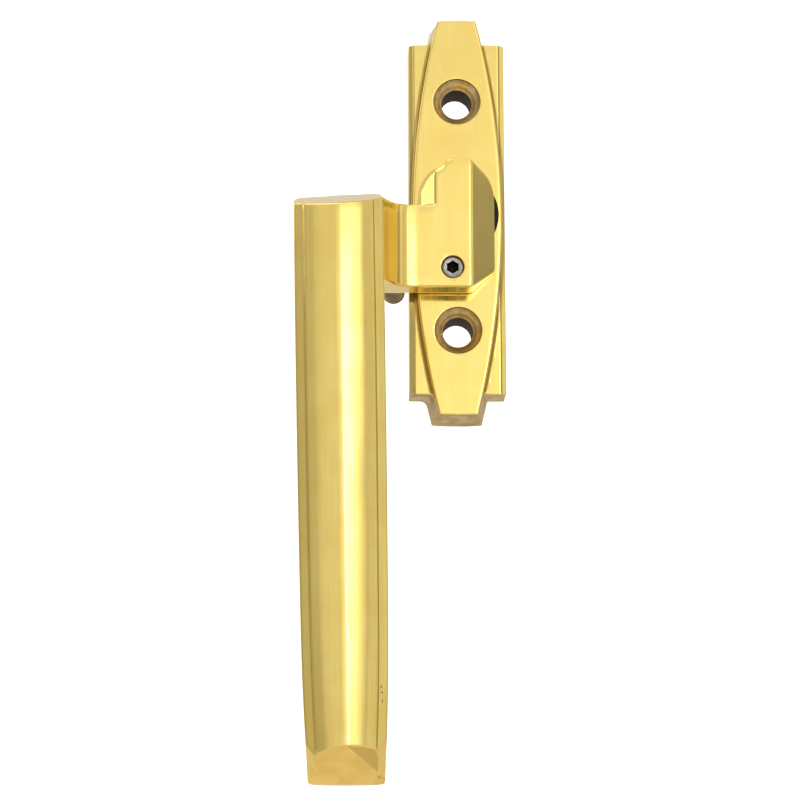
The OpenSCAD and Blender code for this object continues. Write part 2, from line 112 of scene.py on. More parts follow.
# A closed block: a soft-cornered section in x and forward, carried along z between two shaped ends.
# corners(z) and cuts(z) give the section, low(x, forward) and high(x, forward) give the ends' heights.
# The section's right side has side points, and its back and its top have across spans each.
# At each end the edge is rounded by a curve from the side, through the edge, onto the end face, and the
# end face is a ladder of rungs between the left and the right side.
def carriedBlock(d, corners, cuts, low, high):
    beyond, tableRows, fade = 3, 700, 1.3  # the sections' table runs past both ends; softer edges fade in and out
    zTable = np.linspace(d["zLow"] - beyond, d["zHigh"] + beyond, tableRows)
    table = softLoop(corners(zTable), cuts(zTable), d["arcs"], d["runs"])
    count = table.shape[1]
    column = np.arange(count)

    def place(z):
        at = np.clip((z - zTable[0]) / (zTable[1] - zTable[0]), 0, len(zTable) - 1.001)
        row = at.astype(int)
        share = (at - row)[..., None]
        return table[row, column] * (1 - share) + table[row + 1, column] * share

    def endOf(shape, guess):
        z = np.full(count, guess)
        for _ in range(3):  # the height moves the section a little, so it settles in a few rounds
            z = shape(*place(z).T)
        return z

    bottom, top = endOf(low, d["zLow"]), endOf(high, d["zHigh"])
    rows = []
    for z, shape, way in ((bottom, low, 1), (top, high, -1)):
        edge = place(z)
        along = np.roll(edge, -1, axis=0) - np.roll(edge, 1, axis=0)
        along /= np.maximum(np.linalg.norm(along, axis=1, keepdims=True), tiny)
        inward = np.stack([-along[:, 1], along[:, 0]], axis=1)
        soft = d["softTop"] + 0 * z
        if "softSide" in d:  # softer upright edges, down to softTop before they reach the corners
            middle = smoothStep(0, fade, edge[:, 1] - d["softFrom"]) * smoothStep(0, fade, d["softTo"] - edge[:, 1])
            soft += (d["softSide"] - d["softTop"]) * middle * np.abs(inward[:, 0]) ** 2
        onSide = np.concatenate([place(z + way * soft), (z + way * soft)[:, None]], axis=1)
        onEdge = np.concatenate([edge, z[:, None]], axis=1)
        inside = edge + inward * soft[:, None]
        onEnd = np.concatenate([inside, shape(*inside.T)[:, None]], axis=1)
        t = np.linspace(0, 1, d["softSteps"] + 1)[:, None, None]
        curve = (1 - t) ** 2 * onEnd + 2 * t * (1 - t) * onEdge + t * t * onSide
        rows.append(curve if way == 1 else curve[::-1])
    zFrom, zTo = rows[0][-1, :, 2], rows[1][0, :, 2]
    z = zFrom + (zTo - zFrom) * np.linspace(0, 1, d["rows"] + 1)[1:-1, None]
    side = np.concatenate([place(z), z[..., None]], axis=2)
    rings = np.concatenate([rows[0], side, rows[1]])
    points = [rings.reshape(-1, 3)]
    ids = np.arange(rings.shape[0] * count).reshape(-1, count)
    faces = [gridFaces(ids, True)]
    right, across = d["side"], d["across"]
    used = rings.shape[0] * count
    for ring, shape, flip in ((0, low, 1), (-1, high, -1)):
        loop = rings[ring]
        rungs = np.arange(right + 1)
        lefts = 2 * right + across - rungs
        share = np.linspace(0, 1, across + 1)[None, :, None]
        flat = loop[lefts][:, None, :2] * (1 - share) + loop[rungs][:, None, :2] * share
        inner = flat[1:-1, 1:-1]
        cap = np.zeros((right + 1, across + 1), int)
        cap[:, 0], cap[:, -1] = ids[ring][lefts], ids[ring][rungs]
        cap[0, 1:-1] = ids[ring][2 * right + across + 1:]
        cap[-1, 1:-1] = ids[ring][right + 1:right + across][::-1]
        cap[1:-1, 1:-1] = used + np.arange(inner.shape[0] * inner.shape[1]).reshape(inner.shape[:2])
        z = shape(inner[..., 0], inner[..., 1])
        points.append(np.concatenate([inner, z[..., None]], axis=2).reshape(-1, 3))
        used += inner.shape[0] * inner.shape[1]
        faces.append(gridFaces(cap[::flip], False))
    return np.concatenate(points), np.concatenate(faces)


# A closed tube through rings of points, with one flat face over each end
def ringTube(rings):
    ids = np.arange(rings.shape[0] * rings.shape[1]).reshape(rings.shape[:2])
    faces = gridFaces(ids, True).tolist()
    return rings.reshape(-1, 3), faces + [ids[0].tolist(), ids[-1][::-1].tolist()]


# A turned shape about a line along y: radius and forward carried round a circle
def turned(profile, x, z, steps):
    p = np.array(profile, float)
    angle = np.arange(steps) * 2 * math.pi / steps
    rings = np.stack([x + p[:, :1] * np.cos(angle), np.repeat(p[:, 1:], steps, axis=1),
                      z + p[:, :1] * np.sin(angle)], axis=2)
    return ringTube(rings)


# The end of a cutter's profile: the rounded rim that a hole leaves in a face at front, and the way out of it
def rimProfile(radius, rim, front, steps):
    angle = np.radians(np.linspace(180, 98, steps))
    rounded = np.stack([radius + rim * (1 + np.cos(angle)), front - rim * (1 - np.sin(angle))], 1)
    return [*rounded.tolist(), [radius + rim + 0.1, front + 0.02], [radius + 1, front + 0.6]]


# A plain box between two opposite corners, for cutters
def box(low, high):
    corner = np.array([[x, f, z] for x in (0, 1) for f in (0, 1) for z in (0, 1)])
    points = np.array(low) + (np.array(high) - np.array(low)) * corner
    return points, [[0, 1, 3, 2], [4, 6, 7, 5], [0, 4, 5, 1], [2, 3, 7, 6], [0, 2, 6, 4], [1, 5, 7, 3]]


# Makes an object of points given as x, forward and z, with its faces turned outwards
def makePiece(name, points, faces, material):
    mesh = bpy.data.meshes.new(name)
    p = np.array(points)
    where = np.stack([p[:, 0], -p[:, 1], p[:, 2]], axis=1) * mm
    mesh.from_pydata(where.tolist(), [], faces if isinstance(faces, list) else faces.tolist())
    shell = bmesh.new()
    shell.from_mesh(mesh)
    bmesh.ops.remove_doubles(shell, verts=shell.verts, dist=1e-8)
    bmesh.ops.recalc_face_normals(shell, faces=shell.faces)
    shell.to_mesh(mesh)
    shell.free()
    mesh.materials.append(material)
    piece = bpy.data.objects.new(name, mesh)
    bpy.context.scene.collection.objects.link(piece)
    return piece


# Joins a piece with others or cuts them from it, and keeps the result as the piece's own mesh
def combine(piece, others, operation):
    for other in others:
        step = piece.modifiers.new("combine", "BOOLEAN")
        step.operation = operation
        step.solver = "MANIFOLD"
        step.material_mode = "TRANSFER"
        step.object = other
    bpy.context.view_layer.update()
    shaped = bpy.data.meshes.new_from_object(piece.evaluated_get(bpy.context.evaluated_depsgraph_get()))
    piece.modifiers.clear()
    piece.data = shaped
    for other in others:
        bpy.data.objects.remove(other)


# Smooth faces between creases sharper than so many degrees, with the large flat faces kept flat
def smoothPiece(piece, crease=32, flatWeight=60):
    piece.data.polygons.foreach_set("use_smooth", np.ones(len(piece.data.polygons), bool))
    piece.data.set_sharp_from_angle(angle=math.radians(crease))
    even = piece.modifiers.new("flats", "WEIGHTED_NORMAL")
    even.keep_sharp = True
    even.weight = flatWeight
    return piece


# Adds a node with its settings; fed says what goes into its inputs: a value, or another node's output
def addNode(tree, kind, fed=None, **settings):
    node = tree.nodes.new("ShaderNode" + kind)
    for name, value in settings.items():
        setattr(node, name, value)
    for name, value in (fed or {}).items():
        if isinstance(value, bpy.types.NodeSocket):
            tree.links.new(value, node.inputs[name])
        else:
            node.inputs[name].default_value = value
    return node


def maths(tree, operation, a, b=0.0):
    return addNode(tree, "Math", {0: a, 1: b}, operation=operation).outputs[0]


def times(tree, value, *factors):
    for factor in factors:
        value = maths(tree, "MULTIPLY", value, factor)
    return value


def unsigned(tree, value):
    return maths(tree, "ABSOLUTE", value)


def vectorMaths(tree, operation, a, b):
    return addNode(tree, "VectorMath", {0: a, 1: b}, operation=operation).outputs[0]


def lengthOf(tree, vector):
    return addNode(tree, "VectorMath", {0: vector}, operation="LENGTH").outputs["Value"]


def split(tree, vector):
    return addNode(tree, "SeparateXYZ", {0: vector}).outputs


def joined(tree, x, y, z=0.0):
    return addNode(tree, "CombineXYZ", {0: x, 1: y, 2: z}).outputs[0]


def ranged(tree, value, low, high, toLow=0.0, toHigh=1.0):
    fed = {"Value": value, "From Min": low, "From Max": high, "To Min": toLow, "To Max": toHigh}
    return addNode(tree, "MapRange", fed, interpolation_type="SMOOTHSTEP").outputs["Result"]


def noise(tree, vector, scale, detail, roughness=0.5):
    fed = {"Vector": vector, "Scale": scale, "Detail": detail, "Roughness": roughness}
    return addNode(tree, "TexNoise", fed).outputs[0]


def mixColour(tree, share, a, b):
    a, b = [(*c, 1) if isinstance(c, tuple) else c for c in (a, b)]
    return addNode(tree, "Mix", {0: share, 6: a, 7: b}, data_type="RGBA").outputs[2]


def mixValue(tree, share, a, b):
    return addNode(tree, "Mix", {0: share, 2: a, 3: b}, data_type="FLOAT").outputs[0]


def bump(tree, height, distance, under=None):
    fed = {"Height": height, "Distance": distance, "Strength": 1.0}
    if under:
        fed["Normal"] = under
    return addNode(tree, "Bump", fed).outputs["Normal"]


# A node group that takes a Vector and named numbers, and puts out named numbers
def newGroup(name, numbers, results):
    group = bpy.data.node_groups.new(name, "ShaderNodeTree")
    group.interface.new_socket("Vector", in_out="INPUT", socket_type="NodeSocketVector")
    for title, value in numbers.items():
        group.interface.new_socket(title, in_out="INPUT", socket_type="NodeSocketFloat").default_value = value
    for title in results:
        group.interface.new_socket(title, in_out="OUTPUT", socket_type="NodeSocketFloat")
    return group, group.nodes.new("NodeGroupInput").outputs, group.nodes.new("NodeGroupOutput").inputs


def useGroup(tree, group, fed):
    return addNode(tree, "Group", fed, node_tree=group).outputs


mopping = dict(fineness=2600.0, length=30.0, fineDetail=3.0, fineShare=0.55, wide=0.22, wideDetail=2.0,
               wideShare=0.45, contrast=(0.3, 0.7))


# Fine marks left by the polishing mop, drawn out along z: a fine noise and a wider one
def makePolishMarks():
    d = mopping
    numbers = {"Fineness": d["fineness"], "Length": d["length"]}
    group, given, out = newGroup("polishMarks", numbers, ("Marks", "Height"))
    shorter = maths(group, "DIVIDE", 1.0, given["Length"])
    drawn = vectorMaths(group, "MULTIPLY", given["Vector"], joined(group, 1.0, 1.0, shorter))
    fine = noise(group, drawn, given["Fineness"], d["fineDetail"])
    wide = noise(group, drawn, times(group, given["Fineness"], d["wide"]), d["wideDetail"])
    mixed = maths(group, "ADD", times(group, fine, d["fineShare"]), times(group, wide, d["wideShare"]))
    group.links.new(ranged(group, mixed, *d["contrast"]), out["Marks"])
    group.links.new(mixed, out["Height"])
    return group


unevenness = dict(size=0.008, detail=1.0, roughness=0.4, toneScale=1.7, toneDetail=3.0, toneContrast=(0.35, 0.68))


# Slow unevenness of a surface that was worked by hand
def makeHandWaves():
    d = unevenness
    group, given, out = newGroup("handWaves", {"Size": d["size"]}, ("Height", "Tone"))
    scale = maths(group, "DIVIDE", 1.0, given["Size"])
    slow = noise(group, given["Vector"], scale, d["detail"], d["roughness"])
    tone = noise(group, given["Vector"], times(group, scale, d["toneScale"]), d["toneDetail"])
    group.links.new(slow, out["Height"])
    group.links.new(ranged(group, tone, *d["toneContrast"]), out["Tone"])
    return group


casting = dict(grain=0.0004, detail=5.0, roughness=0.65, cells=0.55, pit=(0.08, 0.3), patches=0.14, patchDetail=3.0,
               pitted=(0.5, 0.62), pitDepth=0.8, toneContrast=(0.3, 0.7))


# The grainy skin of a sand casting, with pits in some of its patches
def makeCastSkin():
    d = casting
    group, given, out = newGroup("castSkin", {"Grain": d["grain"]}, ("Height", "Pits", "Tone"))
    scale = maths(group, "DIVIDE", 1.0, given["Grain"])
    grain = noise(group, given["Vector"], scale, d["detail"], d["roughness"])
    cells = addNode(group, "TexVoronoi", {"Vector": given["Vector"], "Scale": times(group, scale, d["cells"])})
    pits = ranged(group, cells.outputs["Distance"], *d["pit"], 1.0, 0.0)
    patches = noise(group, given["Vector"], times(group, scale, d["patches"]), d["patchDetail"])
    sparse = times(group, pits, ranged(group, patches, *d["pitted"]))
    group.links.new(maths(group, "SUBTRACT", grain, times(group, sparse, d["pitDepth"])), out["Height"])
    group.links.new(sparse, out["Pits"])
    group.links.new(ranged(group, patches, *d["toneContrast"]), out["Tone"])
    return group


cutting = dict(spacing=0.0002, wallPitch=0.6, detail=3.0, roughness=0.7, unevenScale=900.0, unevenShare=0.5,
               toneContrast=(0.6, 0.9))


# Rings left by a cutter that turned about a line along y: a noise of one dimension over the distance from it
def makeTurnedRings():
    d = cutting
    numbers = {"Middle X": 0.0, "Middle Z": 0.0, "Spacing": d["spacing"]}
    group, given, out = newGroup("turnedRings", numbers, ("Height", "Tone"))
    x, y, z = split(group, given["Vector"])
    away = lengthOf(group, joined(group, maths(group, "SUBTRACT", x, given["Middle X"]),
                                  maths(group, "SUBTRACT", z, given["Middle Z"])))
    turns = maths(group, "DIVIDE", maths(group, "ADD", away, times(group, y, d["wallPitch"])), given["Spacing"])
    line = addNode(group, "TexNoise", {"W": turns, "Scale": 1.0, "Detail": d["detail"], "Roughness": d["roughness"]},
                   noise_dimensions="1D").outputs[0]
    uneven = noise(group, given["Vector"], d["unevenScale"], d["detail"])
    tone = maths(group, "ADD", line, times(group, uneven, d["unevenShare"]))
    group.links.new(line, out["Height"])
    group.links.new(ranged(group, tone, *d["toneContrast"]), out["Tone"])
    return group


polishMarks, handWaves, castSkin, turnedRings = makePolishMarks(), makeHandWaves(), makeCastSkin(), makeTurnedRings()


# A new material, its node tree and shader, and where on the object a point is and which way it faces
def newMaterial(name, colour, roughness, metallic=1.0):
    material = bpy.data.materials.new(name)
    material.use_nodes = True
    tree = material.node_tree
    shader = tree.nodes["Principled BSDF"]
    shader.inputs["Base Color"].default_value = (*colour, 1)
    shader.inputs["Roughness"].default_value = roughness
    shader.inputs["Metallic"].default_value = metallic
    place = addNode(tree, "TexCoord").outputs
    return material, tree, shader, place["Object"], place["Normal"]


def applyFinish(tree, shader, colour, roughness, normal):
    for title, value in (("Base Color", colour), ("Roughness", roughness), ("Normal", normal)):
        tree.links.new(value, shader.inputs[title])


# 1 inside an ellipsoid round the middle, fading to 0 at its reach
def spot(tree, vector, middle, reach, core=0.7):
    away = vectorMaths(tree, "SUBTRACT", vector, middle)
    return ranged(tree, lengthOf(tree, vectorMaths(tree, "DIVIDE", away, reach)), core, 1.0, 1.0, 0.0)


brass = dict(bright=(0.965, 0.745, 0.23), deep=(0.92, 0.675, 0.19), streak=(0.8, 0.58, 0.15), streakShare=0.42,
             smooth=0.09, hazy=0.21, hazeSpread=(0.4, 1.0), waveSize=0.012, waveHeight=0.00013, markHeight=0.000007)


# Polished brass. ownMarks adds what only that casting shows to the colour, roughness and normal.
def makeBrass(name, ownMarks):
    d = brass
    material, tree, shader, place, facing = newMaterial(name, d["bright"], d["smooth"])
    marks = useGroup(tree, polishMarks, {"Vector": place})
    waves = useGroup(tree, handWaves, {"Vector": place, "Size": d["waveSize"]})
    colour = mixColour(tree, waves["Tone"], d["bright"], d["deep"])
    colour = mixColour(tree, times(tree, marks["Marks"], d["streakShare"]), colour, d["streak"])
    haze = times(tree, marks["Marks"], ranged(tree, waves["Tone"], 0.0, 1.0, *d["hazeSpread"]))
    roughness = mixValue(tree, haze, d["smooth"], d["hazy"])
    normal = bump(tree, marks["Height"], d["markHeight"], bump(tree, waves["Height"], d["waveHeight"]))
    applyFinish(tree, shader, *ownMarks(tree, place, facing, colour, roughness, normal))
    return material


# Metal left by a cutter: browned brass in the holes, steel on the grub screw and the turned parts inside. Deep in
# the bores and the screw's socket, painted shade colours them nearly black.
turnedFinishes = dict(
    turnedBrassShadedBores=dict(pale=(0.72, 0.54, 0.25), dark=(0.42, 0.3, 0.13), roughness=0.36, middle=(0.0, 0.0215),
                     spacing=0.00028, height=0.00004, bothHoles=True, bore=(-0.007, (0.05, 0.03, 0.012))),
    screwSteelShadedSocket=dict(pale=(0.44, 0.43, 0.39), dark=(0.22, 0.215, 0.19), roughness=0.3, middle=(-0.0012, -0.0111),
                    spacing=0.00022, height=0.00002, bothHoles=False, bore=(-0.0145, (0.035, 0.03, 0.025))),
    satinSteel=dict(pale=(0.62, 0.61, 0.58), dark=(0.46, 0.45, 0.43), roughness=0.3, middle=(0.0, 0.0),
                    spacing=0.00025, height=0.00001, bothHoles=False, bore=None))


def makeTurned(name, d, uneven=0.08, boreShadeEdge=0.0002, boreRoughness=0.65):
    material, tree, shader, place, _ = newMaterial(name, d["pale"], d["roughness"])
    x, y, z = split(tree, place)
    if d["bothHoles"]:  # the two holes lie the same distance above and below the pivot
        place = joined(tree, x, y, unsigned(tree, z))
    rings = useGroup(tree, turnedRings, {"Vector": place, "Middle X": d["middle"][0], "Middle Z": d["middle"][1],
                                         "Spacing": d["spacing"]})
    colour = mixColour(tree, rings["Tone"], d["dark"], d["pale"])
    roughness = ranged(tree, rings["Tone"], 0.0, 1.0, d["roughness"] + uneven, d["roughness"] - uneven)
    # painted shade: bores and sockets are coloured nearly black inside, from this depth on
    if d["bore"]:  # bores and sockets are nearly black inside, from this depth on
        depth, dark = d["bore"]
        inside = ranged(tree, y, depth, depth + boreShadeEdge)
        colour = mixColour(tree, inside, colour, dark)
        roughness = mixValue(tree, inside, roughness, boreRoughness)
    applyFinish(tree, shader, colour, roughness, bump(tree, rings["Height"], d["height"]))
    return material


# Plated or oiled steel, and nylon: patches of a second colour, and faint marks
plainFinishes = dict(
    springSteel=dict(colour=(0.34, 0.34, 0.35), patches=(0.2, 0.2, 0.21), roughness=0.36, metallic=1.0,
                     length=12.0, height=0.000002, size=0.006),
    zincSteel=dict(colour=(0.68, 0.69, 0.7), patches=(0.61, 0.62, 0.63), roughness=0.27, metallic=1.0,
                   length=1.0, height=0.000001, size=0.012),
    blackNylon=dict(colour=(0.006, 0.006, 0.006), patches=(0.012, 0.012, 0.011), roughness=0.5, metallic=0.0,
                    length=1.0, height=0.000006, size=0.004))


def makePlain(name, d, fineness=500.0, smoother=0.04, rougher=0.06, nylonSheen=0.2):
    material, tree, shader, place, _ = newMaterial(name, d["colour"], d["roughness"], d["metallic"])
    marks = useGroup(tree, polishMarks, {"Vector": place, "Fineness": fineness, "Length": d["length"]})
    waves = useGroup(tree, handWaves, {"Vector": place, "Size": d["size"]})
    colour = mixColour(tree, waves["Tone"], d["colour"], d["patches"])
    roughness = ranged(tree, marks["Marks"], 0.0, 1.0, d["roughness"] - smoother, d["roughness"] + rougher)
    applyFinish(tree, shader, colour, roughness, bump(tree, marks["Height"], d["height"]))
    if d["metallic"] == 0:
        shader.inputs["Specular IOR Level"].default_value = nylonSheen
    return material


pegBrass = dict(pale=(0.42, 0.31, 0.15), dark=(0.16, 0.11, 0.045), pitShade=0.3, roughness=0.5, uneven=0.1,
                grain=0.0007, height=0.00012)


# The rest peg's dull brass, left as it was cast
def makePegBrass():
    d = pegBrass
    material, tree, shader, place, _ = newMaterial("roughBrass", d["pale"], d["roughness"])
    skin = useGroup(tree, castSkin, {"Vector": place, "Grain": d["grain"]})
    colour = mixColour(tree, skin["Tone"], d["dark"], d["pale"])
    colour = mixColour(tree, skin["Pits"], colour, tuple(c * d["pitShade"] for c in d["dark"]))
    roughness = ranged(tree, skin["Tone"], 0.0, 1.0, d["roughness"] + d["uneven"], d["roughness"] - d["uneven"])
    applyFinish(tree, shader, colour, roughness, bump(tree, skin["Height"], d["height"]))
    return material


turnedMetal = {name: makeTurned(name, finish) for name, finish in turnedFinishes.items()}
plainSurface = {name: makePlain(name, finish) for name, finish in plainFinishes.items()}
roughBrass = makePegBrass()
print("metals and nylon made")


plate = dict(width=17.6, height=66, thick=9, wing=7, stripWidth=1, stripStep=0.35, stripFall=0.5,
             wingSoft=(0.3, 0.16, 0.12, 0.15), gusset=(1.3, 0.5), gussetReach=1.2,
             panelHeight=74.2, panelWidth=16.1, panelEndWidth=6.9, flare=1.3, endFlare=0.6, endBow=0.125,
             cove=0.8, leastCove=0.12, coveSink=0.004, footDepth=0.6, edge=0.32,
             holeCentres=43, bore=2.75, sink=4.3, land=0.7, cone=1.4, rim=0.1,
             bush=6.76, pocket=7.1, pocketDepth=6, coverRadius=7.62, coverDepth=1.12, armWidth=9.04, armHeight=32.04,
             slotWidth=11.92, slotHeight=21.2, slotDepth=3.46, lockHole=(-1.2, -11.1), lockRadius=1.5, lockFloor=7.5)


# The panel's sides are arcs of one circle, whose radius follows from the arc's length and its swell
def panelRadius():
    d = plate
    swell = (d["panelWidth"] - d["panelEndWidth"]) / 2
    return (d["panelHeight"] ** 2 / 4 + swell ** 2) / (2 * swell)


# Half the panel's width: what the circle reaches sideways at this height
def panelHalf(z):
    radius = panelRadius()
    return plate["panelWidth"] / 2 - radius + np.sqrt(radius ** 2 - z * z)


# Painted shade, dark brown, lies in the creases just off the panel's arc and along a straight line at lineAt,
# fading in and out over the depths front and behind. The upright walls past outer were left as cast: at the top
# only those that face endwise, and at the lower end all of them.
creaseShade = dict(colour=(0.3, 0.2, 0.06), share=0.7, roughness=0.3, arcAt=0.00055, arcWidth=0.00045,
               lineAt=0.00787, lineWidth=0.0002, lineShare=0.8, front=(-0.0088, -0.0078), behind=(-0.0058, -0.0052))
castWalls = dict(pale=(0.66, 0.49, 0.21), dark=(0.4, 0.28, 0.11), pits=(0.08, 0.05, 0.02), roughness=0.42,
                 height=0.00012, upright=(0.35, 0.7), outer=(0.0322, 0.0329), endwise=(0.5, 0.8),
                 lowerHalf=(-0.001, 0.001))


def plateMarks(tree, place, facing, colour, roughness, normal):
    d, radius = creaseShade, panelRadius() * mm
    x, y, z = split(tree, place)
    aside = unsigned(tree, x)
    fromCentre = maths(tree, "ADD", aside, radius - plate["panelWidth"] / 2 * mm)
    reach = lengthOf(tree, joined(tree, fromCentre, z))
    offArc = unsigned(tree, maths(tree, "SUBTRACT", reach, radius + d["arcAt"]))
    offLine = unsigned(tree, maths(tree, "SUBTRACT", aside, d["lineAt"]))
    # painted shade darkens the crease along the panel's foot and along the wing's step line
    shadedCrease = maths(tree, "MAXIMUM", ranged(tree, offArc, 0.0, d["arcWidth"], 1.0, 0.0),
                   ranged(tree, offLine, 0.0, d["lineWidth"], d["lineShare"], 0.0))
    shadedCrease = times(tree, shadedCrease, ranged(tree, y, *d["front"]), ranged(tree, y, *d["behind"], 1.0, 0.0))
    colour = mixColour(tree, times(tree, shadedCrease, d["share"]), colour, d["colour"])
    roughness = mixValue(tree, shadedCrease, roughness, d["roughness"])

    d = castWalls
    skin = useGroup(tree, castSkin, {"Vector": place})
    towards = split(tree, facing)
    upright = ranged(tree, unsigned(tree, towards["Y"]), *d["upright"], 1.0, 0.0)
    outer = ranged(tree, unsigned(tree, z), *d["outer"])
    endwise = maths(tree, "MAXIMUM", ranged(tree, unsigned(tree, towards["Z"]), *d["endwise"]),
                    ranged(tree, z, *d["lowerHalf"], 1.0, 0.0))
    rough = times(tree, upright, outer, endwise)
    tone = mixColour(tree, skin["Pits"], mixColour(tree, skin["Tone"], d["pale"], d["dark"]), d["pits"])
    return (mixColour(tree, rough, colour, tone), mixValue(tree, rough, roughness, d["roughness"]),
            bump(tree, times(tree, skin["Height"], rough), d["height"], normal))


plateBrass = makeBrass("plateBrass", plateMarks)


# How far forward a wing's front lies: flat, then a small step down to the sloping strip along its edge
def wingTop(x):
    d = plate
    flat = d["width"] / 2 - d["stripWidth"]
    return np.interp(x, [flat, flat + d["stripStep"] / 2, d["width"] / 2],
                     [d["wing"], d["wing"] - d["stripStep"], d["wing"] - d["stripStep"] - d["stripFall"]])


def mirrorCorners(right):
    return np.concatenate([right, right[:, ::-1] * np.array([-1, 1])], axis=1)


def mirrorCuts(right):
    return np.concatenate([right, right[:, ::-1, ::-1]], axis=1)


# The wings: one section with the stepped strip at each side, the same from end to end
def wingBlock():
    d = plate
    half, flat = d["width"] / 2, d["width"] / 2 - d["stripWidth"]
    low = d["wing"] - d["stripStep"]
    right = np.array([[half, 0], [half, low - d["stripFall"]], [flat + d["stripStep"] / 2, low], [flat, d["wing"]]])
    soft = np.stack([d["wingSoft"]] * 2, axis=1)
    endHalf = panelHalf(d["height"] / 2 + d["gussetReach"])

    # The end runs straight across and curves up against the panel's side
    def end(x, forward):
        reach = np.where(x < 0, *d["gusset"])
        gap = np.abs(x) - endHalf - d["flare"] * (1 - forward / d["thick"])
        inside = np.clip(reach - gap, 0, reach)
        return d["height"] / 2 + reach - np.sqrt(reach ** 2 - inside ** 2)

    arcs, runs = [5, 5, 4, 4, 4, 4, 5, 5], [6, 3, 2, 64, 2, 3, 6, 64]
    shape = dict(arcs=arcs, runs=runs, side=sum(arcs[:3]) + sum(runs[:3]) + arcs[3], across=64, rows=40,
                 zLow=-d["height"] / 2, zHigh=d["height"] / 2, softTop=0.22, softSide=0.5, softFrom=0.35, softTo=5.8,
                 softSteps=5)
    return carriedBlock(shape, lambda z: np.repeat(mirrorCorners(right[None]), len(z), axis=0),
                        lambda z: np.repeat(mirrorCuts(soft[None]), len(z), axis=0),
                        lambda x, f: -end(x, f), end)


# The raised panel: its half width follows the circle, its walls flare in a straight line towards the back, and a
# cove joins their foot to the wings. Its back stays just in front of the wings' flat back.
def panelBlock():
    d = plate
    limit = d["width"] / 2 - 0.1  # the wall stays this far inside the wings' outer faces

    def wall(half, forward):
        return np.minimum(half + d["flare"] * (1 - forward / d["thick"]), limit)

    # Where the wall meets the wing, and how wide the cove between them may be beside the strip
    def footAndCove(z):
        foot = panelHalf(z) + d["flare"] * (1 - d["wing"] / d["thick"])
        return foot, np.clip(d["width"] / 2 - d["stripWidth"] - 0.05 - foot, d["leastCove"], d["cove"])

    def corners(z):
        half = panelHalf(z)
        foot, cove = footAndCove(z)
        on = smoothStep(d["height"] / 2 - 0.05, d["height"] / 2 - 0.7, np.abs(z))  # 0 past the wings' ends
        footTop = np.where(on > 0, wingTop(foot), d["wing"])
        tip = foot + cove * on
        tipTop = footTop + (wingTop(tip) - footTop - d["coveSink"]) * on
        under = footTop - d["footDepth"]
        return mirrorCorners(pointRows(z, (wall(half, 0), 0.02), (wall(half, under), under),
                                       (np.minimum(tip, limit), tipTop), (foot, footTop), (half, d["thick"])))

    def cuts(z):
        cove = footAndCove(z)[1]
        return mirrorCuts(pointRows(z, (d["edge"], d["edge"]), (0.02, 0.02), (0.02, 0.02), (cove, cove),
                                    (d["edge"], d["edge"])))

    def end(x, forward):
        return d["panelHeight"] / 2 + d["endFlare"] * (1 - forward / d["thick"]) - d["endBow"] * (x / 4) ** 2

    arcs, runs = [5, 2, 2, 6, 5, 5, 6, 2, 2, 5], [8, 2, 1, 4, 32, 4, 1, 2, 8, 32]
    shape = dict(arcs=arcs, runs=runs, side=sum(arcs[:4]) + sum(runs[:4]) + arcs[4], across=32, rows=180,
                 zLow=-d["panelHeight"] / 2, zHigh=d["panelHeight"] / 2, softTop=0.25, softSide=0.8, softFrom=0.35,
                 softTo=8.65, softSteps=6)
    return carriedBlock(shape, corners, cuts, lambda x, f: -end(x, f), end)


# The two countersunk holes, the stepped pivot bore, the blind hole for the lock screw's point, and the pockets
# of the rear cover's arms and of the click springs. Each reaches out past the face that it opens in.
def plateCutters():
    d = plate
    front = d["thick"]
    shapes = []
    for side in (-1, 1):
        profile = [[d["bore"], -1], [d["bore"], front - d["land"] - d["cone"]], [d["sink"], front - d["land"]],
                   *rimProfile(d["sink"], d["rim"], front, 7)]
        shapes.append(turned(profile, 0, side * d["holeCentres"] / 2, 96))
    shapes.append(turned([[d["coverRadius"], -1], [d["coverRadius"], d["coverDepth"]], [d["pocket"], d["coverDepth"]],
                          [d["pocket"], d["pocketDepth"]], [d["bush"], d["pocketDepth"]], [d["bush"], front + 1]],
                         0, 0, 96))
    shapes.append(turned([[d["lockRadius"], d["lockFloor"]], [d["lockRadius"], front + 1]], *d["lockHole"], 48))
    for width, height, depth in ((d["armWidth"], d["armHeight"], d["coverDepth"]),
                                 (d["slotWidth"], d["slotHeight"], d["slotDepth"])):
        shapes.append(box([-width / 2, -1, -height / 2], [width / 2, depth, height / 2]))
    return [makePiece(f"cutter{k}", *shape, turnedMetal["turnedBrassShadedBores"]) for k, shape in enumerate(shapes)]


backplate = makePiece("backplateCasting", *panelBlock(), plateBrass)
combine(backplate, [makePiece("wings", *wingBlock(), plateBrass)], "UNION")
combine(backplate, plateCutters(), "DIFFERENCE")
smoothPiece(backplate)
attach(backplate, "plate")
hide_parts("backplate")
print("backplate", len(backplate.data.polygons), "faces")


grip = dict(topWidth=15.58, endWidth=14.38, belly=0.46, offset=22, lean=0.85, reach=104.6, back=24, thick=10.5,
            ledge=1.6, ledgeStep=0.6, ledgeFall=0.62, ledgeLean=0.2, gable=1.7, bow=(0.55, 0.56),
            soft=((1.7, 3.4), (0.35, 0.35), (0.14, 0.14), (0.22, 0.22), (2.3, 2.3)), ridgeSoft=0.7,
            startAt=3, taperEnd=4.2, draw=26, drawIn=0.62, topSlope=0.3946, topFall=0.0612,
            bevelStart=98.5, bevelSlope=0.81, hipStart=1.037, hipSlope=0.3, hipSoft=0.1,
            cornerHalf=5.35, cornerFall=1.6, cornerFade=(5.4, 6.6), endRise=0.15, endSoft=0.4)


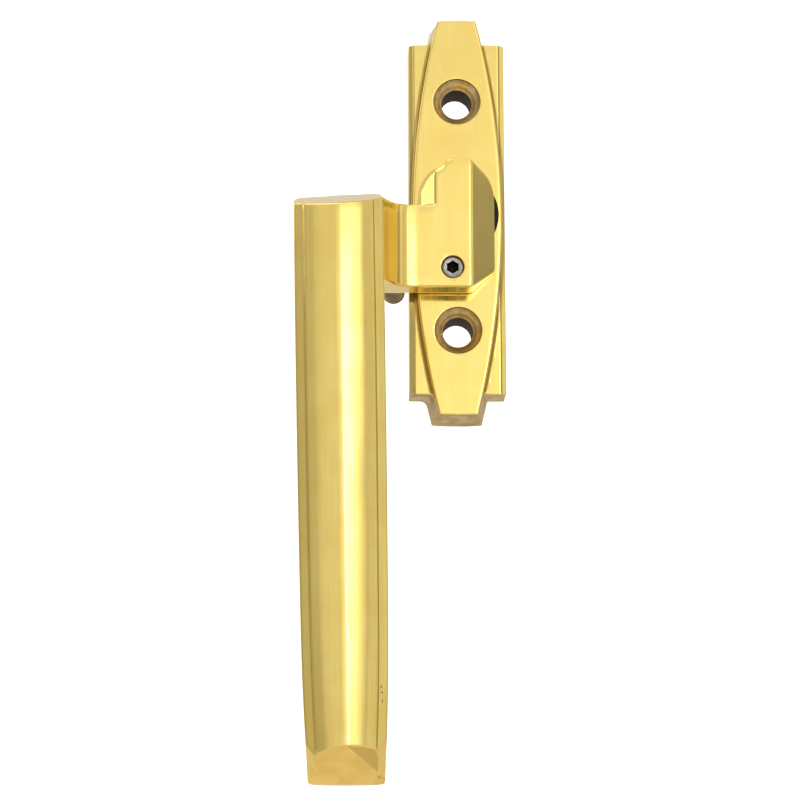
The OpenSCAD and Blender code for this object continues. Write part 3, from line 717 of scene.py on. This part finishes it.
# Half the grip's width: a straight taper with a slight belly, drawn in over its last stretch
def gripHalf(z):
    d = grip
    t = (d["startAt"] - z) / (d["startAt"] + d["reach"] - d["taperEnd"])
    drawn = np.maximum(0, (d["draw"] - z - d["reach"]) / d["draw"])
    width = d["topWidth"] + (d["endWidth"] - d["topWidth"]) * np.minimum(t, 1)
    return (width + d["belly"] * 4 * np.maximum(0, t * (1 - t))) / 2 - d["drawIn"] * drawn ** 2


def gripMiddle(z):
    return -z * math.tan(math.radians(grip["lean"])) - grip["offset"]


# The sloping top face, which the neck's top follows
def gripTop(x, forward):
    return grip["topFall"] * (x + 15) - grip["topSlope"] * (forward - grip["back"])


# The grip: upright sides, a ledge along each, and a low gable above them, carried down the taper
def gripBlock():
    d = grip
    ridge = d["back"] + d["thick"]
    flank = ridge - d["gable"]

    def corners(z):
        half = gripHalf(z)
        inner = half - d["ledge"]
        right = pointRows(z, (half, d["back"]), (half, flank - d["ledgeStep"] - d["ledgeFall"]),
                          (inner, flank - d["ledgeStep"]), (inner - d["ledgeLean"], flank),
                          (inner * d["bow"][0], flank + d["gable"] * d["bow"][1]))
        whole = np.concatenate([right, pointRows(z, (0, ridge)), right[:, ::-1] * np.array([-1, 1])], axis=1)
        return whole + pointRows(z, (gripMiddle(z), 0))

    def cuts(z):
        right = np.array(d["soft"])
        whole = np.concatenate([right, [[d["ridgeSoft"]] * 2], right[::-1, ::-1]])
        return np.repeat(whole[None], len(z), axis=0)

    # The end's bevel falls back from the front; a hip turns its right half, and its two corners are cut back
    def low(x, forward):
        drop = ridge - forward
        across = x - gripMiddle(-d["reach"])
        bevel = -d["bevelStart"] - d["bevelSlope"] * drop
        hip = bevel + d["hipSlope"] * (across - d["hipStart"] * drop)
        beyond = np.maximum(np.abs(across) - d["cornerHalf"], 0)
        corner = d["cornerFall"] * beyond * (1 - smoothStep(*d["cornerFade"], drop))
        underside = -d["reach"] + d["endRise"] * (across / 7) ** 2
        return softMax(softMax(bevel, hip, d["hipSoft"]) + corner, underside, d["endSoft"])

    arcs = [8, 5, 4, 5, 8, 72, 8, 5, 4, 5, 8]  # the ridge's rounding is the section's top, so it has across spans
    runs = [18, 3, 2, 3, 3, 3, 3, 2, 3, 18, 72]
    shape = dict(arcs=arcs, runs=runs, side=sum(arcs[:5]) + sum(runs[:5]), across=72, rows=90,
                 zLow=-d["reach"], zHigh=0, softTop=0.3, softSteps=5)
    return carriedBlock(shape, corners, cuts, low, gripTop)


head = dict(back=9.6, front=14.8, top=9.05, bottom=-14.8, right=6.65, left=7.4, ridgeRight=2.3, ridgeLeft=4.2,
            rim=0.35, rimFall=1.1, crown=2.05, heel=3.9, cheekAcross=0.86, cheekDown=0.573,
            rightShoulder=((6.65, 3.26), (6.25, 5.25), (5.32, 6.7)),
            leftShoulder=((-4.22, 7.6), (-5.48, 6.97), (-6.44, 5.88), (-7.1, 4.34), (-7.4, 2.72)),
            neckTop=0.45, underGrip=0.35, coveStart=6.9, coveReach=11.6, coveTurn=(11.7, 16), coveEnd=(15, 25),
            sweepStart=12.5, sweepWidth=11.5, sweepTo=24.5, sweepTurn=(268, 182),
            neckRings=44, neckFrom=7.6, leadRings=8, frontLead=-7.43, backLead=-7.5,
            frontRoot=(-15.4, 26.6), backRoot=(-24.1, 25.2), wallTops=(1.35, 0.9, 0.47),
            # the x of the head's rings, closer where its planes turn: from, to and how many
            rings=((6.5, 2.9, 26), (2.8, 1.8, 11), (1.6, -1.5, 6), (-1.8, -3.6, 10), (-3.7, -4.7, 11),
                   (-4.9, -6.0, 8), (-6.1, -7.1, 11)),
            # how much of the edges its roundings take: a least cut, and what is added to it over a stretch of x
            soft=dict(back=0.15, heel=0.38, cheekLine=0.8, neckEdge=(0.45, 0.75), neckFade=(-9.5, -14.5),
                      shoulderFrom=(-1.6, -2.8), shoulderTo=(-7.4, -7.15), shoulderAbove=(0.3, 1.05),
                      shoulderBeside=(0.3, 1.3), steepest=2.6))


# The head and neck are six-cornered sections, upright in the head and turning with the neck's sweep. The corners
# are back and front below, front and cheek at the neck's level, cheek and back at the top.
def headBlock():
    d, s = head, head["soft"]
    front, back, bottom = d["front"], d["back"], d["bottom"]
    cheek = [-(d["ridgeLeft"] + (d["left"] - d["ridgeLeft"]) * d["cheekAcross"]),
             front + (back - front) * d["cheekDown"]]
    # The plan of the head: forward over x, from the right rim to the left one
    rightPlan = softLine([[d["right"] + 1, back + d["rim"] - d["rimFall"]], [d["right"], back + d["rim"]],
                          [d["ridgeRight"], front], [-d["coveStart"], front]], [0, 0.1, 0.5, 0], 12)
    # The neck's cove leaves the flat very slowly: a cubic curve from start over reach and turn to its end
    share = np.linspace(0, 1, 121)[:, None]
    cove = ((1 - share) ** 3 * [-d["coveStart"], front] + 3 * share * (1 - share) ** 2 * [-d["coveReach"], front]
            + 3 * share ** 2 * (1 - share) * [-d["coveTurn"][0], d["coveTurn"][1]]
            + share ** 3 * [-d["coveEnd"][0], d["coveEnd"][1]])
    frontPlan = np.concatenate([rightPlan[:-1], cove[:60]])
    leftPlan = softLine([[0, front], [-d["ridgeLeft"], front], cheek, [-d["left"], back + 2 * d["rim"]]],
                        [0, 0.5, 0.5, 0], 12)
    # The head's outline over its shoulders and crown, and its edge below
    outline = softLine([[d["right"], -1], *d["rightShoulder"], [d["crown"], d["top"]], [-d["crown"], d["top"]],
                        *d["leftShoulder"], [-d["left"], d["neckTop"]]], [0, 1, 1, 1, 0.5, 0.5, 1, 1, 1, 1, 1, 0], 10)
    under = softLine([[d["right"], bottom + d["heel"] + 3], [d["right"], bottom + d["heel"]],
                      [d["ridgeRight"], bottom], [-30, bottom]], [0, 0.6, 0.9, 0], 10)
    x = np.concatenate([d["right"] - np.array([0, 0, 0.03, 0.1]), *[np.linspace(*ring) for ring in d["rings"]],
                        -d["left"] + np.array([0.2, 0.12, 0.06, 0.02, 0])])
    atFront = np.interp(-x, -frontPlan[:, 0], frontPlan[:, 1])
    atCheek = np.minimum(np.interp(-x, -leftPlan[:, 0], leftPlan[:, 1]), np.minimum(atFront, front))
    atTop = np.interp(-x, -outline[1:-1, 0], outline[1:-1, 1])
    atBottom = np.interp(-x, -under[1:, 0], under[1:, 1])
    slope = np.gradient(atTop) / np.minimum(np.gradient(x), -0.001)
    # Three more rings take the left rim's own wall down to the neck's level
    k = np.arange(3)
    wall = np.stack([-d["left"] - 0.005 * (k + 1), 0 * k + atFront[-1], back + (2 - 0.3 * k) * d["rim"],
                     d["wallTops"], 0 * k + bottom], axis=1)
    rows = np.concatenate([np.stack([x, atFront, atCheek, atTop, atBottom], axis=1), wall])
    near, atFront, atCheek, atTop, atBottom = rows.T
    backs, level = 0 * near + back, 0 * near + d["neckTop"]
    headCorners = np.stack([np.stack([near] * 6, 1), np.stack([backs, atFront, atFront, atCheek, atCheek, backs], 1),
                            np.stack([atBottom, atBottom, level, level, atTop, atTop], 1)], axis=2)

    # The neck: its front follows the cove, its back a quarter of an ellipse, both first led over from the head
    along = np.linspace(np.interp(d["neckFrom"], -cove[:, 0], share[:, 0]), 1, d["neckRings"])
    frontX, frontF = np.interp(along, share[:, 0], cove[:, 0]), np.interp(along, share[:, 0], cove[:, 1])
    sweep = np.radians(np.linspace(*d["sweepTurn"], d["neckRings"]))
    backX = -d["sweepStart"] + d["sweepWidth"] * np.cos(sweep)
    backF = d["sweepTo"] + (d["sweepTo"] - back) * np.sin(sweep)
    lead = np.linspace(0, 1, d["leadRings"] + 1)[:-1]
    leadX = d["frontLead"] + lead * (frontX[0] - d["frontLead"])
    leadF = np.interp(-leadX, -frontPlan[:, 0], frontPlan[:, 1])
    frontX = np.concatenate([leadX, frontX, d["frontRoot"][:1]])
    frontF = np.concatenate([leadF, frontF, d["frontRoot"][1:]])
    backX = np.concatenate([d["backLead"] + lead * (backX[0] - d["backLead"]), backX, d["backRoot"][:1]])
    backF = np.concatenate([back + lead * (backF[0] - back), backF, d["backRoot"][1:]])
    toBack = np.array([1, 0, 0, 0.3, 0.6, 1])
    neckX = frontX[:, None] + (backX - frontX)[:, None] * toBack
    neckF = frontF[:, None] + (backF - frontF)[:, None] * toBack
    neckZ = np.minimum(d["neckTop"], gripTop(neckX, neckF) - d["underGrip"])
    neckZ[:, :2] = bottom
    corners = np.concatenate([headCorners, np.stack([neckX, neckF, neckZ], axis=2)])

    across = corners[:, 1, 0]
    cuts = np.zeros((len(corners), 6, 2))
    cuts[:, 0] = cuts[:, 5] = s["back"]
    cuts[:, 1] = s["heel"]
    cuts[:, 2] = (s["neckEdge"][0] + s["neckEdge"][1] * smoothStep(*s["neckFade"], across))[:, None]
    cuts[:, 3] = s["cheekLine"]
    shoulder = smoothStep(*s["shoulderFrom"], across) * smoothStep(*s["shoulderTo"], across)
    steep = np.ones(len(across))
    steep[:len(x)] = np.sqrt(1 + slope ** 2)  # a steep shoulder needs a longer cut for the same rounding
    cuts[:, 4, 0] = s["shoulderAbove"][0] + s["shoulderAbove"][1] * shoulder * np.clip(steep, 1, s["steepest"])
    cuts[:, 4, 1] = s["shoulderBeside"][0] + s["shoulderBeside"][1] * shoulder
    rings = softLoop(corners, cuts, [4, 6, 6, 4, 7, 4], [8, 12, 4, 8, 8, 12])
    first = rings[0]  # drawn in by 0.1 mm, which rounds the right rim
    inward = first.mean(0) - first
    rings[0] = first + np.sign(inward) * np.minimum(np.abs(inward) * 0.5, 0.1) * [0, 1, 1]
    return ringTube(rings)


# The end's bevel is filed and left matt, and painted shade makes the hip at its right darker. A few casting pits
# lie beside the ledge.
filing = dict(pale=(1.0, 0.72, 0.22), dark=(0.9, 0.62, 0.18), hip=(0.72, 0.5, 0.15), roughness=0.3, height=0.00003,
              downwards=(-0.6, -0.4), below=(-0.0975, -0.0965), sideways=(0.35, 0.5), hipShadeFacing=(0.06, 0.14))
ledgePits = dict(middle=(-0.01452, -0.0322, -0.0898), reach=(0.0004, 0.0012, 0.0022), scale=2600.0, size=(0.2, 0.42),
                 colour=(0.07, 0.045, 0.015), depth=0.0001)


def leverMarks(tree, place, facing, colour, roughness, normal):
    d = filing
    skin = useGroup(tree, castSkin, {"Vector": place})
    towards = split(tree, facing)
    filed = times(tree, ranged(tree, towards["Z"], *d["downwards"], 1.0, 0.0),
                  ranged(tree, split(tree, place)["Z"], *d["below"], 1.0, 0.0),
                  ranged(tree, unsigned(tree, towards["X"]), *d["sideways"], 1.0, 0.0))
    colour = mixColour(tree, filed, colour, mixColour(tree, skin["Tone"], d["pale"], d["dark"]))
    # painted shade: where the filed bevel faces right, on the hip, it is coloured darker
    colour = mixColour(tree, times(tree, filed, ranged(tree, towards["X"], *d["hipShadeFacing"])), colour, d["hip"])
    roughness = mixValue(tree, filed, roughness, d["roughness"])
    normal = bump(tree, times(tree, skin["Height"], filed), d["height"], normal)

    d = ledgePits
    cells = addNode(tree, "TexVoronoi", {"Vector": place, "Scale": d["scale"]}).outputs["Distance"]
    holes = times(tree, ranged(tree, cells, *d["size"], 1.0, 0.0), spot(tree, place, d["middle"], d["reach"]))
    colour = mixColour(tree, holes, colour, d["colour"])
    return colour, roughness, bump(tree, times(tree, holes, -1.0), d["depth"], normal)


leverBrass = makeBrass("polishedBrass", leverMarks)

lock = dict(x=-1.2, z=-11.1, hole=2.04, rim=0.16, radius=2, front=14.6, length=4.8, point=1.2, pointLength=1.25,
            chamfer=0.35, key=2, socketDepth=1.7, drillDepth=2.1)

lever = makePiece("leverCasting", *headBlock(), leverBrass)
screwHole = [[lock["hole"], 8], *rimProfile(lock["hole"], lock["rim"], head["front"], 6)]
screwCutter = makePiece("screwHole", *turned(screwHole, lock["x"], lock["z"], 72), turnedMetal["turnedBrassShadedBores"])
combine(lever, [screwCutter], "DIFFERENCE")
combine(lever, [makePiece("grip", *gripBlock(), leverBrass)], "UNION")
smoothPiece(lever)
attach(lever, "lever")
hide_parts("lever_casting")
print("lever", len(lever.data.polygons), "faces")


# A turned screw whose face opens into a hexagon: each ring is a circle or, times its radius, the key's hexagon
def lockScrew():
    d = lock
    angle = np.arange(96) * 2 * math.pi / 96
    hexagon = d["key"] / 2 / np.cos((angle + math.pi / 6) % (math.pi / 3) - math.pi / 6)
    circle = np.ones_like(angle)
    front, radius = d["front"], d["radius"]
    back = front - d["length"]
    shoulder = back + d["pointLength"]
    steps = [(circle, d["point"] - 0.3, back), (circle, d["point"], back + 0.25), (circle, d["point"], shoulder),
             (circle, radius - d["chamfer"], shoulder), (circle, radius, shoulder + d["chamfer"]),
             (circle, radius, front - 0.34), (circle, radius - 0.1, front - 0.14), (circle, radius - 0.34, front),
             (circle, 1.32, front), (hexagon, 1.06, front - 0.07), (hexagon, 1, front - 0.22),
             (hexagon, 1, front - d["socketDepth"]), (hexagon, 0.35, front - d["drillDepth"])]
    rings = np.stack([np.stack([d["x"] + outline * r * np.cos(angle), 0 * angle + f,
                                d["z"] + outline * r * np.sin(angle)], 1) for outline, r, f in steps])
    return ringTube(rings)


screw = smoothPiece(makePiece("lockScrew", *lockScrew(), turnedMetal["screwSteelShadedSocket"]), 28)
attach(screw, "lock_screw")
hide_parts("lock_screw")

peg = dict(x=-11.55, z=-12.7, radius=2.1, endSoft=0.45, back=0.4, front=9.6, tenon=1.4, tenonLength=2.98)


# A round peg with a softened end behind and a tenon in front, which the neck holds
def restPeg():
    d = peg
    angle = np.radians(np.linspace(-90, 0, 7))
    soft = d["endSoft"]
    end = np.stack([d["radius"] - soft + soft * np.cos(angle), d["back"] + soft + soft * np.sin(angle)], 1)
    profile = [[0.5, d["back"]], *end.tolist(), [d["radius"], d["front"]], [d["tenon"], d["front"]],
               [d["tenon"], d["front"] + d["tenonLength"]]]
    return turned(profile, d["x"], d["z"], 72)


restPegPiece = smoothPiece(makePiece("restPeg", *restPeg(), roughBrass))
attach(restPegPiece, "lever")
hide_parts("rest_peg")
print("screw and peg made")

# The CAD's own parts inside and behind get their finish by the record's material slot
finishes = {"black_nylon": plainSurface["blackNylon"], "stainless_steel": turnedMetal["satinSteel"],
            "spring_steel": plainSurface["springSteel"], "zinc_steel": plainSurface["zincSteel"]}
for part in frame["record"]["subparts"]:
    node = frame["nodes"][part["node"]]
    if part["material_slot"] in finishes:
        node.data.materials.clear()
        node.data.materials.append(finishes[part["material_slot"]])
print("inner parts finished")


# A sheet of pale paper: a level floor, a quarter circle and an upright wall. It is white in the picture and softer
# where the metal mirrors it.
studio = dict(floor=-0.16, wall=0.9, halfWidth=2.2, front=-0.35, height=2.2, curve=0.35, paper=(0.48, 0.48, 0.48),
              paperPatches=(0.52, 0.52, 0.52), patchSize=0.4, shown=(0.9, 0.9, 0.9), mirrored=(0.3, 0.26, 0.2))


def backdrop():
    d = studio
    angle = np.radians(np.linspace(0, 90, 17))
    profile = np.concatenate([[[d["front"], d["floor"]]],
                              np.stack([d["wall"] - d["curve"] + d["curve"] * np.sin(angle),
                                        d["floor"] + d["curve"] * (1 - np.cos(angle))], 1),
                              [[d["wall"], d["height"]]]])
    across = np.linspace(-d["halfWidth"], d["halfWidth"], 3)
    grid = np.stack([np.stack([0 * profile[:, 0] + a, profile[:, 0], profile[:, 1]], 1) for a in across], 1)
    ids = np.arange(grid.shape[0] * grid.shape[1]).reshape(grid.shape[:2])
    mesh = bpy.data.meshes.new("backdrop")
    mesh.from_pydata(grid.reshape(-1, 3).tolist(), [], gridFaces(ids, False).tolist())
    material, tree, shader, place, _ = newMaterial("palePaper", d["paper"], 0.9, 0.0)
    tone = useGroup(tree, handWaves, {"Vector": place, "Size": d["patchSize"]})["Tone"]
    tree.links.new(mixColour(tree, tone, d["paper"], d["paperPatches"]), shader.inputs["Base Color"])
    seen = addNode(tree, "LightPath").outputs["Is Camera Ray"]
    tree.links.new(mixColour(tree, seen, d["mirrored"], d["shown"]), shader.inputs["Emission Color"])
    shader.inputs["Emission Strength"].default_value = 1
    mesh.materials.append(material)
    piece = bpy.data.objects.new("backdrop", mesh)
    bpy.context.scene.collection.objects.link(piece)


backdrop()

# Each lamp's azimuth and elevation from the handle, its distance, its size, and its glow next to a white card's
lamps = dict(stripRight=(17.5, 5, 0.9, (0.25, 0.34), 2.2), stripUpper=(29.5, 15, 0.9, (0.15, 0.14), 0.5),
             sideLeft=(-96, 25, 0.9, (0.3, 0.35), 0.9), overhead=(-38, 58, 1.0, (0.7, 0.6), 1.5))
lampsAimAt = np.array([-0.012, -0.02, -0.035])


def softbox(name, azimuth, elevation, away, size, glow):
    a, e = math.radians(azimuth), math.radians(elevation)
    toLamp = np.array([math.sin(a) * math.cos(e), -math.cos(a) * math.cos(e), math.sin(e)])
    light = bpy.data.lights.new(name, "AREA")
    light.shape = "RECTANGLE"
    light.size, light.size_y = size
    light.energy = glow * math.pi * size[0] * size[1]
    lamp = bpy.data.objects.new(name, light)
    lamp.location = lampsAimAt + toLamp * away
    lamp.rotation_euler = (math.radians(90) - e, 0, a)
    lamp.visible_camera = False
    bpy.context.scene.collection.objects.link(lamp)


for name, values in lamps.items():
    softbox(name, *values)

# What the polished metal mirrors round the room. Each stop is an azimuth in degrees, with 0 towards the camera and
# 90 to the right, then the brightness above the two elevations of rise and below them. darkCard is the azimuth,
# elevation, width and height of a dark card.
surroundings = dict(
    stops=[(-180, 0.75, 0.6), (-150, 0.4, 0.3), (-122, 0.36, 0.3), (-106, 0.92, 0.4), (-86, 0.92, 0.4),
           (-70, 0.46, 0.4), (-46, 0.5, 0.5), (-41, 0.58, 0.57), (-37, 0.76, 0.74), (-26, 0.84, 0.83),
           (-10, 0.88, 1.0), (-3, 0.9, 1.13), (4, 0.93, 1.17), (8, 1.2, 1.3), (11, 1.3, 1.35), (24, 1.3, 1.35),
           (31, 1.22, 1.25), (33, 0.98, 0.98), (36, 0.88, 0.88), (38.5, 0.62, 0.6), (41, 0.64, 0.62),
           (44, 0.78, 0.78), (56, 0.7, 0.6), (64, 0.92, 0.85), (76, 0.92, 0.85), (84, 0.5, 0.4), (100, 0.5, 0.34),
           (118, 0.5, 0.35), (140, 0.7, 0.5), (180, 0.75, 0.6)],
    rise=(12.0, 19.0), darkCard=(1.0, -13.5, 6.0, 4.5), cardColour=(0.012, 0.03, 0.008), seen=(1.0, 1.0, 1.0))


def makeWorld():
    d = surroundings
    world = bpy.data.worlds.new("studioWorld")
    world.use_nodes = True
    tree = world.node_tree
    x, y, z = split(tree, addNode(tree, "TexCoord").outputs["Generated"])
    azimuth = times(tree, maths(tree, "ARCTAN2", x, times(tree, y, -1.0)), 180 / math.pi)
    elevation = times(tree, maths(tree, "ARCSINE", z), 180 / math.pi)
    wayRound = maths(tree, "DIVIDE", maths(tree, "ADD", azimuth, 180.0), 360.0)
    ramps = []
    for column in (1, 2):
        ramp = addNode(tree, "ValToRGB", {"Fac": wayRound})
        marks = ramp.color_ramp.elements
        ramp.color_ramp.interpolation = "EASE"
        while len(marks) > 1:
            marks.remove(marks[-1])
        for k, stop in enumerate(d["stops"]):
            at = (stop[0] + 180) / 360
            mark = marks[0] if k == 0 else marks.new(at)
            mark.position = at
            mark.color = (*[stop[column]] * 3, 1)
        ramps.append(ramp.outputs["Color"])
    above, below = ramps
    shown = mixColour(tree, ranged(tree, elevation, *d["rise"]), below, above)
    cardX, cardZ, wide, tall = d["darkCard"]
    away = lengthOf(tree, joined(tree, maths(tree, "DIVIDE", maths(tree, "SUBTRACT", azimuth, cardX), wide),
                                 maths(tree, "DIVIDE", maths(tree, "SUBTRACT", elevation, cardZ), tall)))
    shown = mixColour(tree, ranged(tree, away, 0.7, 1.1, 1.0, 0.0), shown, d["cardColour"])
    shown = mixColour(tree, addNode(tree, "LightPath").outputs["Is Camera Ray"], shown, d["seen"])
    tree.links.new(shown, tree.nodes["Background"].inputs["Color"])
    bpy.context.scene.world = world


makeWorld()
bpy.context.scene.view_settings.view_transform = "Standard"

view = dict(eye=(-0.0248, -0.509, -0.1316), pitch=9.696, yaw=-1.045, roll=0.081, lens=126.97, shift=(0.034, 0.08))
camera = bpy.data.objects.new("camera", bpy.data.cameras.new("camera"))
camera.location = view["eye"]
camera.rotation_mode = "XYZ"
camera.rotation_euler = (math.radians(90 + view["pitch"]), math.radians(view["roll"]), math.radians(view["yaw"]))
camera.data.lens = view["lens"]
camera.data.sensor_width = 36
camera.data.shift_x, camera.data.shift_y = view["shift"]
camera.data.clip_start = 0.01
bpy.context.scene.collection.objects.link(camera)
bpy.context.scene.camera = camera
print("studio made")
